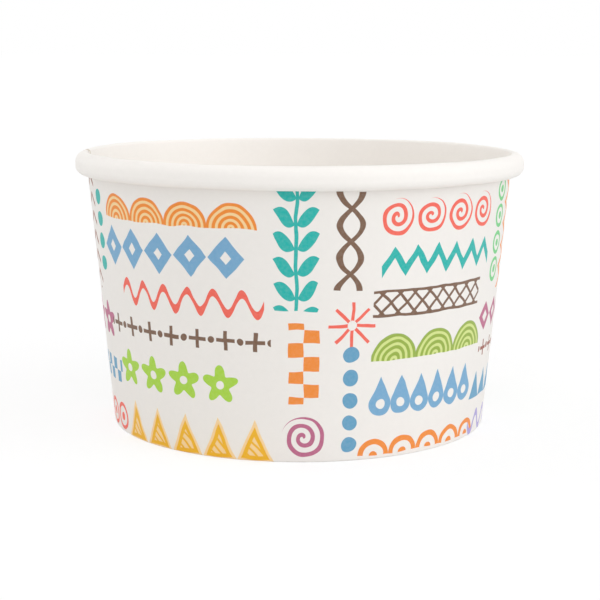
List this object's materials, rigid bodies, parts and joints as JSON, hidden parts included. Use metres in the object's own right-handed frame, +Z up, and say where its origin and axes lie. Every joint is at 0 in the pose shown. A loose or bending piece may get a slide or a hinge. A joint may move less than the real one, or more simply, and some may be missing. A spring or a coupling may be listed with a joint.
{
  "type": "paper dessert cup",
  "caption": "Low round paperboard cup for ice cream or dessert, with a rolled rim, a tapered printed wall glued at a lap, and a base recessed into a folded hem.",
  "frame": {"origin": "centre of the foot, on the surface that the cup stands on", "axes": "+Z up along the cup's axis, out of its mouth; -Y towards the side that is seen first; the glued lap is near -X"},
  "size_m": [0.096, 0.096, 0.0583],
  "materials": {
    "wall_board": "coated white paperboard with a many-coloured print",
    "base_board": "coated plain white paperboard"
  },
  "bodies": {
    "root": {"sidewall": "wall_board", "base_disc": "base_board"}
  },
  "joints": []
}
